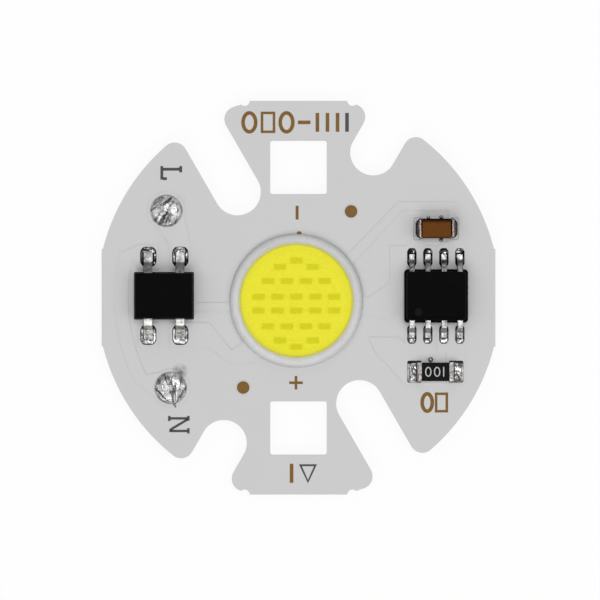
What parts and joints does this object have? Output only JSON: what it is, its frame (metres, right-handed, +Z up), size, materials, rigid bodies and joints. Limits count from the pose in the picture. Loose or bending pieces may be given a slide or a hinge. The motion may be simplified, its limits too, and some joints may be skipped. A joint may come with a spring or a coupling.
{
  "type": "chip-on-board led light engine",
  "caption": "Round metal-core board with a phosphor-covered light source in a silicone ring, a rectifier, a driver and chip parts, slotted for screws",
  "frame": {"origin": "Middle of the underside of the metal base, where the board's two pairs of facing flats centre it", "axes": "+Z up out of the lit side, +X from the rectifier to the driver, +Y towards the live wire pad"},
  "size_m": [0.0312, 0.0312, 0.0027],
  "materials": {
    "aluminium": "satin rolled sheet",
    "dielectric": "filled epoxy, dull",
    "copper": "tarnished copper foil",
    "white_coat": "white coat, satin",
    "die": "sawn and bare",
    "bond_wire": "drawn gold wire",
    "silicone": "milky silicone",
    "phosphor": "smooth silicone with phosphor",
    "black_mould": "fine spark-eroded grain",
    "tinned_lead": "matt tin",
    "solder": "reflowed solder, streaked",
    "brown_ceramic": "fired ceramic, dull",
    "white_ceramic": "fired alumina",
    "black_glaze": "glossy glaze"
  },
  "bodies": {
    "root": {"aluminium_base": "aluminium", "dielectric_layer": "dielectric", "copper_live": "copper", "copper_neutral": "copper", "copper_positive": "copper", "copper_ground": "copper", "copper_return": "copper", "copper_sense": "copper", "copper_supply": "copper", "reference_dots": "copper", "solder_mask": "white_coat", "led_dies": "die", "bond_wires": "bond_wire", "silicone_dam": "silicone", "phosphor_fill": "phosphor", "bridge_body": "black_mould", "bridge_leads": "tinned_lead", "bridge_solder": "solder", "driver_body": "black_mould", "driver_leads": "tinned_lead", "driver_solder": "solder", "capacitor_body": "brown_ceramic", "capacitor_terminals": "tinned_lead", "capacitor_solder": "solder", "resistor_body": "white_ceramic", "resistor_terminals": "tinned_lead", "resistor_overcoat": "black_glaze", "resistor_solder": "solder", "live_solder_dome": "solder", "neutral_solder_dome": "solder"}
  },
  "joints": []
}
